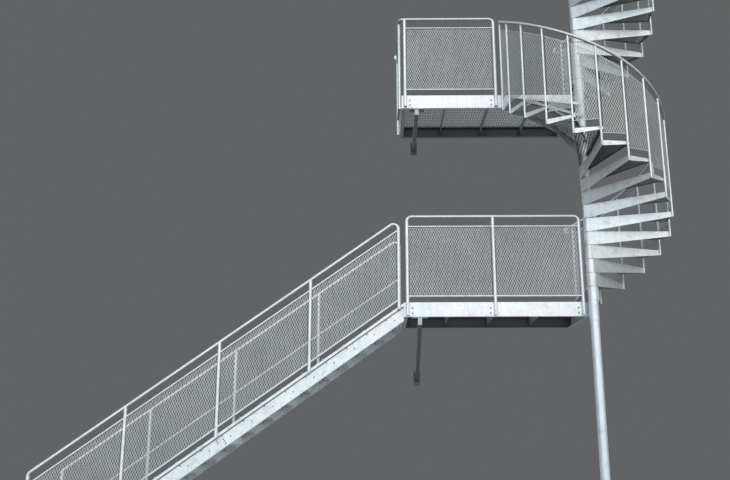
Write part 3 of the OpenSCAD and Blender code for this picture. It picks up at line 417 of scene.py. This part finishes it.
# Strand k at u = u0(k) + side(k) * reach * wave(v), with wave a trapezoid of period cellHigh, between the lines
# low and high, which are given at both ends of the sheet's level line from corner along its direction
def expandedSheet(corner, along, length, low, high):
    half = expanded["cellWide"] / 2
    reach = (half - expanded["strandWide"]) / 2
    period, bond = expanded["cellHigh"], expanded["bondHigh"]
    normal = np.cross(zAxis, along)
    profile = flatBar(expanded["strandWide"], expanded["thick"])
    knots = np.array([0, bond, period / 2, period / 2 + bond, period])
    swing = np.array([1, 1, -1, -1, 1])
    parts = []
    for k in range(1, int(length / half)):
        u0 = k * half
        bottom = low[0] + (low[1] - low[0]) * u0 / length
        top = high[0] + (high[1] - high[0]) * u0 / length
        rows = np.arange(math.floor(bottom / period) - 1, math.ceil(top / period) + 1)
        v = (rows[:, None] * period + knots[None, :4]).ravel()
        v = v[(v > bottom + expanded["shortest"]) & (v < top - expanded["shortest"])]
        v = np.concatenate([[bottom], v, [top]])
        u = u0 + (1 if k % 2 else -1) * reach * np.interp(v % period, knots, swing)
        centre = corner + u[:, None] * along + v[:, None] * zAxis
        ring = centre[:, None] + profile[None, :, :1] * along + profile[None, :, 1:] * normal
        parts.append((ring.reshape(-1, 3), ringFaces(len(v), 4)))
    return joinParts(parts)


# Strands and borders of the sheets, shown in place of the plate with plain openings
def makeMesh(node, parts):
    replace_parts(addPiece(node + "_strands", parts, "mesh"), node)


# Sheet between two posts of a landing's guard, from its low rail to its middle rail
def guardSheet(start, end, level):
    start, end = np.array([*start, 0.0]), np.array([*end, 0.0])
    length = np.linalg.norm(end - start)
    along = (end - start) / length
    low = level + stair["lowRailRise"] + stair["thinRailWide"] / 2
    high = level + stair["guardHigh"] - stair["midRailDrop"] - stair["thinRailWide"] / 2
    return expandedSheet(start + along * postGap, along, length - 2 * postGap, (low, low), (high, high))


for k, level in enumerate(levels):
    sheets = [guardSheet((a, frontPostY), (b, frontPostY), level) for a, b in zip(frontPosts[k], frontPosts[k][1:])]
    sheets += [guardSheet((x, sidePostY[0]), (x, sidePostY[1]), level) for x in sidePosts[k]]
    makeMesh("landing_%d_guard_mesh" % (k + 1), sheets)

# Mesh of the straight flight, cut along its rails
slopedGap = stair["thinRailWide"] / 2 * math.sqrt(1 + slope * slope)
sheets = []
for right, left in zip(flightPostX, flightPostX[1:]):
    ends = np.array([left + postGap, right - postGap])
    lows = pitchZ(ends) + stair["lowRailRise"] + slopedGap
    highs = pitchZ(ends) + stair["guardHigh"] - stair["midRailDrop"] - slopedGap
    sheets.append(expandedSheet(np.array([ends[0], frontPostY, 0]), xAxis, ends[1] - ends[0], lows, highs))
makeMesh("flight_outer_guard_mesh", sheets)

# Spiral: its balusters stand at the rear corners of the treads, and each tread is turned by one step
balusterRadius = (math.hypot(spiral["radius"], spiral["rearSkew"]) + spiral["plateThick"] / 2
                  + spiral["balusterWide"] / 2 + spiral["balusterPlay"])


def balusterAngle(i):  # angle of baluster i round the column
    return math.pi / 2 - math.atan2(spiral["rearSkew"], spiral["radius"]) - i * stepTurn


def nosingZ(base, angle):  # height of the line of the nosings at an angle round the column
    return base + stair["riser"] * (1 + (math.pi / 2 - angle) / stepTurn)


def onCircle(angle, radius=balusterRadius):  # point at an angle round the column
    return radius * np.array([math.cos(angle), math.sin(angle), 0])


# Sheets between the balusters, each with a flat strip along its level foot and its sloped top
border = {"wide": 0.009, "thick": 0.0024}
borderProfile = flatBar(border["thick"], border["wide"])
sheetGap = spiral["balusterWide"] / 2 + stair["meshPlay"]
for n in (0, 1):
    sheets = []
    for i in range(treadsPerTurn):
        angle = balusterAngle(i)
        p, q = onCircle(angle), onCircle(angle - stepTurn)
        length = np.linalg.norm(q - p)
        direction = (q - p) / length
        low = levels[n] + (i + 1) * stair["riser"] + spiral["meshRise"]
        top = nosingZ(levels[n], angle) + spiral["guardHigh"] - spiral["meshDrop"]
        tops = [top + stair["riser"] * sheetGap / length, top + stair["riser"] * (1 - sheetGap / length)]
        near, far = p + direction * sheetGap, q - direction * sheetGap
        sheets.append(expandedSheet(near, direction, length - 2 * sheetGap, (low, low), tops))
        foot, head = low + border["wide"] / 2, np.array(tops) - border["wide"] / 2
        sheets.append(sweep([near + zAxis * foot, far + zAxis * foot], borderProfile))
        sheets.append(sweep([near + zAxis * head[0], far + zAxis * head[1]], borderProfile))
    makeMesh("spiral_%d_mesh" % (n + 1), sheets)

# Handrails of the spiral, carried along the helix from their anchor discs
spiralRail = {"radius": 0.0189, "sides": 20, "stepDegrees": 2.0, "leadShift": 0.03, "leadDrop": 0.016, "leadSteps": 8,
              "discRadius": 0.045, "discThick": 0.008, "discChamfer": 0.002, "discSides": 40}
discY = rearY - spiralRail["discThick"]
disc = turned([(spiralRail["discRadius"], 0),
               (spiralRail["discRadius"], spiralRail["discThick"] - spiralRail["discChamfer"]),
               (spiralRail["discRadius"] - spiralRail["discChamfer"], spiralRail["discThick"])],
              spiralRail["discSides"])
discCentres = []
for n in (0, 1):
    first, last = balusterAngle(0), balusterAngle(treadsPerTurn)
    angles = np.linspace(first, last, round(math.degrees(first - last) / spiralRail["stepDegrees"]) + 1)
    helix = np.stack([balusterRadius * np.cos(angles), balusterRadius * np.sin(angles),
                      nosingZ(levels[n], angles) + spiral["guardHigh"]], 1)
    share = np.linspace(1, 0, spiralRail["leadSteps"], endpoint=False)
    lead = helix[0] + np.stack([-spiralRail["leadShift"] * share ** 2, (discY - helix[0, 1]) * share,
                                -spiralRail["leadDrop"] * share], 1)
    rail = sweep(np.concatenate([lead, helix]), circle(spiralRail["radius"], spiralRail["sides"]))
    anchorDisc = placeCopies(disc, [facing((lead[0, 0], rearY, lead[0, 2]), -yAxis)])
    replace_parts(addPiece("spiral_%d_rail" % (n + 1), [rail, anchorDisc], "rail", smooth=True),
                "spiral_%d_handrail" % (n + 1))
    discCentres.append((lead[0, 0], lead[0, 2]))
print("spiral done")

# Twisted cross rods of the gratings, flush with the tops of the bearing bars
rods = {"wide": 0.0055, "pitch": 0.1, "twistLength": 0.09, "stepLength": 0.012, "depth": 0.004, "margin": 0.05,
        "play": 0.001}
grating = {"sideGap": 0.010, "endGap": 0.008, "panels": 4, "jointGap": 0.002, "notchX": -0.0875, "notchDepth": 0.072}


# Square rod from start to end, turned once for each twistLength
def twistedRod(start, end):
    start, end = np.asarray(start, float), np.asarray(end, float)
    length = np.linalg.norm(end - start)
    t = np.linspace(0, 1, max(2, round(length / rods["stepLength"])) + 1)
    return sweep(start + t[:, None] * (end - start), flatBar(rods["wide"], rods["wide"]),
                 twist=2 * np.pi * t * length / rods["twistLength"])


panelX = np.linspace(leftX + grating["sideGap"], rightX - grating["endGap"], grating["panels"] + 1)
rodY = np.arange(frontY + grating["sideGap"] + rods["margin"], rearY - grating["sideGap"], rods["pitch"])
for n, level in enumerate(levels):
    parts = []
    rodZ = level - rods["depth"]
    for y in rodY:
        for a, b in zip(panelX[:-1], panelX[1:] - grating["jointGap"]):
            end = min(b, grating["notchX"]) if y < frontY + grating["notchDepth"] else b
            parts.append(twistedRod((a + rods["play"], y, rodZ), (end - rods["play"], y, rodZ)))
    addPiece("landing_%d_cross_rods" % (n + 1), parts, "dull")

# Treads of the straight flight: their rods, from the nosing to the rear bar, and the places of their bolts
flightTread = {"firstNose": 0.022, "depth": 0.27, "nosing": 0.03, "sideGap": 0.0053, "lastRod": 0.02,
               "boltX": (0.055, 0.152), "boltDrop": 0.049, "boltSize": 0.010}
treadX = leftX - flightTread["firstNose"] - stair["going"] * np.arange(1, stair["flightTreads"] + 1)
treadZ = levels[0] - stair["riser"] * np.arange(1, stair["flightTreads"] + 1)
webInside = stair["webY"] + stair["webThick"]
rod = twistedRod((flightTread["nosing"], 0, -rods["depth"]), (flightTread["depth"] - rods["play"], 0, -rods["depth"]))
rodPlaces = [Matrix.Translation((x, y, z)) for x, z in zip(treadX, treadZ)
             for y in np.arange(webInside + rods["margin"], flightDepth - webInside - flightTread["lastRod"],
                                rods["pitch"])]
addPiece("flight_cross_rods", [placeCopies(rod, rodPlaces)], "dull")

# Rods of the spiral treads, between the rear plate and the nosing strip
spiralRods = {"first": 0.17, "last": 0.97, "rearGap": 0.004, "noseGap": 0.037}


# Rod across a spiral tread at distance u along its middle line, between its rear plate and its nosing
def treadRod(u):
    middle = stepTurn / 2
    ahead, across = np.array([math.cos(middle), math.sin(middle)]), np.array([-math.sin(middle), math.cos(middle)])
    a = np.interp(u, treadRear @ ahead, treadRear @ across) + spiralRods["rearGap"]
    b = np.interp(u, treadNose @ ahead, treadNose @ across) - spiralRods["noseGap"]
    return twistedRod((*(u * ahead + a * across), -rods["depth"]), (*(u * ahead + b * across), -rods["depth"]))


# Place of tread i, counted from 1, of the spiral above landing n
def treadPlace(n, i):
    return (Matrix.Translation((0, 0, levels[n] + i * stair["riser"]))
            @ Matrix.Rotation(math.pi / 2 - i * stepTurn, 4, "Z"))


treadRods = joinParts([treadRod(u) for u in np.arange(spiralRods["first"], spiralRods["last"], rods["pitch"])])
treadPlaces = [[treadPlace(n, i) for i in range(1, treadsPerTurn + 1)] for n in (0, 1)]
for n in (0, 1):
    addPiece("spiral_%d_cross_rods" % (n + 1), [placeCopies(treadRods, treadPlaces[n])], "dull")

# Weld beads: a small round profile whose radius swells in even waves along the seam
beads = {"radius": 0.0038, "wave": 0.007, "swell": 0.16, "sides": 6, "step": 0.0018, "ringSteps": 96}


# Bead along a seam, with its path cut into even steps: radius = beads' radius * (1 + swell * sin(run))
def bead(path):
    path = np.asarray(path, float)
    run = np.concatenate([[0], np.cumsum(np.linalg.norm(np.diff(path, axis=0), axis=1))])
    even = np.linspace(0, run[-1], max(3, round(run[-1] / beads["step"])))
    path = np.stack([np.interp(even, run, path[:, k]) for k in range(3)], 1)
    upright = abs(path[-1, 2] - path[0, 2]) > 0.9 * run[-1]
    return sweep(path, circle(beads["radius"], beads["sides"]), xAxis if upright else None,
                 swell=1 + beads["swell"] * np.sin(2 * np.pi * even / beads["wave"]))


# Seam up the foot of each riser plate, where it meets its sleeve
riserPlate = {"seam": (0.0185, -0.0570), "low": -0.170, "high": -0.006}
seam = bead([(*riserPlate["seam"], riserPlate["low"]), (*riserPlate["seam"], riserPlate["high"])])
for n in (0, 1):
    addPiece("spiral_%d_welds" % (n + 1), [placeCopies(seam, treadPlaces[n])], "dull", smooth=True)

# Base plate of the column: a ring of weld round the tube, and seams along and up both sides of each gusset
base = {"plateThick": 0.02, "columnRadius": 0.05715, "gussetThick": 0.008, "gussetDegrees": (45, 135, 225, 315),
        "ringOut": 0.002, "weldLift": 0.001, "weldFrom": 0.003, "weldOut": 0.086, "weldUp": 0.084,
        "boltPitch": 0.24, "boltSize": 0.020}
turns = np.linspace(0, 2 * np.pi, beads["ringSteps"] + 1)
ringRadius, weldZ = base["columnRadius"] + base["ringOut"], base["plateThick"] + base["weldLift"]
baseWelds = [bead(np.stack([ringRadius * np.cos(turns), ringRadius * np.sin(turns), np.full(len(turns), weldZ)], 1))]
for turn in np.radians(base["gussetDegrees"]):
    out, across = onCircle(turn, 1.0), onCircle(turn + math.pi / 2, 1.0)
    for side in (-1, 1):
        foot = (out * base["columnRadius"] + across * side * (base["gussetThick"] / 2 + base["weldLift"])
                + zAxis * weldZ)
        baseWelds.append(bead([foot + out * base["weldFrom"], foot + out * base["weldOut"]]))
        baseWelds.append(bead([foot, foot + zAxis * base["weldUp"]]))
addPiece("column_welds", baseWelds, "dull", smooth=True)
print("rods and welds done")


# Hexagon head on its washer; every length is a share of the thread's size
def hexHead(size):
    return joinParts([turned([(size, 0), (size, 0.18 * size), (0.92 * size, 0.2 * size)], 14),
                      turned([(0.92 * size, 0.2 * size), (0.92 * size, 0.72 * size), (0.78 * size, 0.84 * size)], 6)])


# Washer, nut and the end of the stud, as shares of the thread's size
def anchorNut(size):
    return joinParts([turned([(size, 0), (size, 0.18 * size), (0.94 * size, 0.2 * size)], 16),
                      turned([(0.8 * size, 0.2 * size), (0.92 * size, 0.28 * size), (0.92 * size, 0.95 * size),
                              (0.8 * size, 1.02 * size)], 6),
                      turned([(0.5 * size, 1.0 * size), (0.5 * size, 1.4 * size), (0.42 * size, 1.5 * size)], 12)])


# Low round head: radius falls from size while height rises to 0.55 of it
def screwHead(size):
    return turned([(size, 0), (0.95 * size, 0.2 * size), (0.7 * size, 0.45 * size), (0.3 * size, 0.55 * size)], 12)


# Adds fasteners at (place, outward) pairs, each stopped at its own turn
def addFasteners(name, shape, spots):
    turns = np.random.default_rng(11).uniform(0, math.pi / 3, len(spots))
    places = [facing(place, outward, turn) for (place, outward), turn in zip(spots, turns)]
    addPiece(name, [placeCopies(shape, places)], "bolt", smooth=True)


# Bolts of the lugs that carry the posts, beside each post on the front and on the sides
lug = {"boltOut": 0.062, "boltDrops": (0.073, 0.138), "size": 0.012}
sideLugs = [(leftX - stair["lugThick"], -xAxis), (rightX + stair["lugThick"], xAxis)]
lugBolts = []
for k, level in enumerate(levels):
    for drop in lug["boltDrops"]:
        lugBolts += [((x + (1 if x == leftPostX else -1) * lug["boltOut"], frontY - stair["lugThick"], level - drop),
                      -yAxis) for x in frontPosts[k]]
        lugBolts += [((x, y + side * lug["boltOut"], level - drop), outward)
                     for y, side in zip(sidePostY, (1, -1)) for x, outward in sideLugs[:k]]
addFasteners("guard_bolts", hexHead(lug["size"]), lugBolts)

# Anchors of the rear channels and of the struts' feet, and the bolts of the struts' seats
ledger = {"x": (-2.2275, -1.1075, -0.1475), "rises": (0.045, 0.105), "size": 0.012}
strut = {"fromLeft": 0.2, "footHigh": 0.19, "holePitch": 0.14, "plateThick": 0.01, "seatOut": 0.075,
         "seatFromFront": 0.028, "size": 0.012}
strutX, seatY = leftX + strut["fromLeft"], frontY + strut["seatFromFront"]
anchors, seatBolts = [], []
for k, level in enumerate(levels):
    edgeLow = level - stair["edgeHigh"]
    anchors += [((x, rearY - stair["edgeThick"], edgeLow + rise), -yAxis)
                for x in ledger["x"] for rise in ledger["rises"]]
    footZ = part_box("landing_%d_strut" % (k + 1))[0].z + strut["footHigh"] / 2
    anchors += [((strutX, rearY - strut["plateThick"], footZ + side * strut["holePitch"] / 2), -yAxis)
                for side in (-1, 1)]
    seatBolts += [((strutX + side * strut["seatOut"], seatY, edgeLow - strut["plateThick"]), -zAxis)
                  for side in (-1, 1)]
addFasteners("rear_anchors", anchorNut(ledger["size"]), anchors)
addFasteners("strut_bolts", hexHead(strut["size"]), seatBolts)

# Bolts of the straight flight: two at each end of a tread, and two rows of three at each splice
splice = {"x": -4.600, "drop": 1.687, "rowOut": 0.048, "rowPitch": 0.029}
across = np.array([-slope, 0, 1]) / math.hypot(slope, 1)
treadSpots = [np.array([x + dx, 0, z - flightTread["boltDrop"]])
              for x, z in zip(treadX, treadZ) for dx in flightTread["boltX"]]
spliceSpots = [np.array([splice["x"] + side * splice["rowOut"], 0, levels[0] - splice["drop"]])
               + row * splice["rowPitch"] * across for side in (-1, 1) for row in (-1, 0, 1)]


# Each spot on the near stringer at depth y, facing outward or inward by side, and its mirror image on the far one
def onBothStringers(spots, y, side):
    return [pair for spot in spots for pair in ((spot + yAxis * y, side * yAxis),
                                                (spot + yAxis * (flightDepth - y), -side * yAxis))]


flightBolt = hexHead(flightTread["boltSize"])
addFasteners("flight_bolts", flightBolt, onBothStringers(treadSpots + spliceSpots, stair["webY"], -1))
addFasteners("flight_nuts", flightBolt, onBothStringers(treadSpots, webInside + flightTread["sideGap"], 1))

# Anchors of the column and of the flight's feet
feet = {"anchorPitch": 0.12, "anchorY": 0.163, "size": 0.012}
feetLow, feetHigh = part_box("flight_feet")
footMid = (feetLow.x + feetHigh.x) / 2
addFasteners("foot_anchors", anchorNut(feet["size"]),
             [((footMid + side * feet["anchorPitch"] / 2, y, feetHigh.z), zAxis)
              for side in (-1, 1) for y in (feet["anchorY"], flightDepth - feet["anchorY"])])
half = base["boltPitch"] / 2
addFasteners("column_anchors", anchorNut(base["boltSize"]), [((x * half, y * half, base["plateThick"]), zAxis)
                                                             for x in (-1, 1) for y in (-1, 1)])

# Screws of the anchor discs and of the balusters
screws = {"discOut": 0.034, "discDegrees": (90, 210, 330), "discSize": 0.0055, "size": 0.0075, "sink": 0.001,
          "rises": (-0.045, -0.018, 0.157)}
discCentres += [(x, level + stair["guardHigh"]) for xs, level in zip(sidePosts, levels) for x in xs]
addFasteners("disc_screws", screwHead(screws["discSize"]),
             [((x + screws["discOut"] * math.cos(t), discY, z + screws["discOut"] * math.sin(t)), -yAxis)
              for x, z in discCentres for t in np.radians(screws["discDegrees"])])
balusterFace = balusterRadius + spiral["balusterWide"] / 2 - screws["sink"]
addFasteners("baluster_screws", screwHead(screws["size"]),
             [(onCircle(balusterAngle(i), balusterFace) + zAxis * (level + i * stair["riser"] + rise),
               onCircle(balusterAngle(i)))
              for level in levels[:2] for i in range(treadsPerTurn + 1) for rise in screws["rises"]])
print("fasteners done")

# Camera: the photograph's own place, aim and framing
view = {"place": (-2.6664, -10.2108, 1.657), "yaw": 0.2926, "pitch": 14.1814, "roll": -0.1467,
        "focalPx": 825.88, "centrePx": (10.16, -9.51), "widePx": 730, "sensor": 36, "clipEnd": 200}
yaw, pitch, roll = (math.radians(view[key]) for key in ("yaw", "pitch", "roll"))
ahead = Vector((-math.sin(yaw) * math.cos(pitch), math.cos(yaw) * math.cos(pitch), math.sin(pitch)))
sideways = Vector((math.cos(yaw), math.sin(yaw), 0))
upward = sideways.cross(ahead)
camRight = sideways * math.cos(roll) + upward * math.sin(roll)
camUp = upward * math.cos(roll) - sideways * math.sin(roll)
camera = bpy.data.objects.new("camera", bpy.data.cameras.new("camera"))
bpy.context.scene.collection.objects.link(camera)
camera.matrix_world = Matrix.Translation(view["place"]) @ Matrix((camRight, camUp, -ahead)).transposed().to_4x4()
camera.data.sensor_width = view["sensor"]
camera.data.lens = view["focalPx"] * view["sensor"] / view["widePx"]
camera.data.shift_x = -view["centrePx"][0] / view["widePx"]
camera.data.shift_y = view["centrePx"][1] / view["widePx"]
camera.data.clip_end = view["clipEnd"]
bpy.context.scene.camera = camera

# Floor, backdrop and light: two wide soft lamps in front, and a sky that is brightest on that side
studio = {"floorRadius": 22, "floorShift": 3, "floorSides": 96, "floorPale": (0.66, 0.67, 0.68),
          "floorLow": (0.30, 0.30, 0.31), "floorRough": 0.9, "backdrop": (0.12, 0.125, 0.13),
          "skyTint": (0.90, 0.96, 1.0), "skyRange": (0.05, 0.6), "skyLow": 0.02, "skyHigh": 0.9, "farSide": 0.80,
          "lampHigh": 18, "lampWide": 64, "lamps": {"left": (-24, 1.43, (0.88, 0.95, 1.0)),
                                                    "right": (33, 1.15, (1.0, 0.99, 0.97))}}


def seenRay(tree):  # 1 for what the camera, a reflection or a clear piece shows, and 0 for light that spreads
    rays = addNode(tree, "ShaderNodeLightPath").outputs
    seen = calc(tree, "MAXIMUM", rays["Is Camera Ray"], rays["Is Glossy Ray"])
    return calc(tree, "MAXIMUM", seen, rays["Is Transmission Ray"])


floorMesh = bpy.data.meshes.new("floor")
rim = circle(studio["floorRadius"], studio["floorSides"]) - [studio["floorShift"], 0]
floorMesh.from_pydata([(*p, 0) for p in rim.tolist()], [], [list(range(len(rim)))])
floor = bpy.data.objects.new("floor", floorMesh)
bpy.context.scene.collection.objects.link(floor)
floorMaterial = bpy.data.materials.new("floor")
floorMaterial.use_nodes = True
tree = floorMaterial.node_tree
floorShader = tree.nodes["Principled BSDF"].inputs
tree.links.new(tint(tree, seenRay(tree), studio["floorLow"], studio["floorPale"]), floorShader["Base Color"])
floorShader["Roughness"].default_value = studio["floorRough"]
floorMesh.materials.append(floorMaterial)

world = bpy.data.worlds.new("studio")
bpy.context.scene.world = world
world.use_nodes = True
tree = world.node_tree
tree.nodes.clear()
skyward = apart(tree, addNode(tree, "ShaderNodeTexCoord").outputs["Generated"])
lift = ramp(tree, skyward["Z"], *studio["skyRange"], studio["skyLow"], studio["skyHigh"])
strength = calc(tree, "MULTIPLY", lift, ramp(tree, skyward["Y"], 1.0, -1.0, studio["farSide"]))
light = addNode(tree, "ShaderNodeBackground", {"Color": (*studio["skyTint"], 1), "Strength": strength})
backdrop = addNode(tree, "ShaderNodeBackground", {"Color": (*studio["backdrop"], 1), "Strength": 1.0})
mixed = addNode(tree, "ShaderNodeMixShader", {0: seenRay(tree), 1: light.outputs[0], 2: backdrop.outputs[0]})
addNode(tree, "ShaderNodeOutputWorld", {"Surface": mixed.outputs[0]})

for name, (aside, power, tone) in studio["lamps"].items():
    lamp = bpy.data.objects.new(name, bpy.data.lights.new(name, "SUN"))
    lamp.data.energy = power
    lamp.data.color = tone
    lamp.data.angle = math.radians(studio["lampWide"])
    lamp.rotation_euler = (math.radians(90 - studio["lampHigh"]), 0, math.radians(aside))
    bpy.context.scene.collection.objects.link(lamp)
bpy.context.scene.view_settings.view_transform = "Standard"
print("stage done")
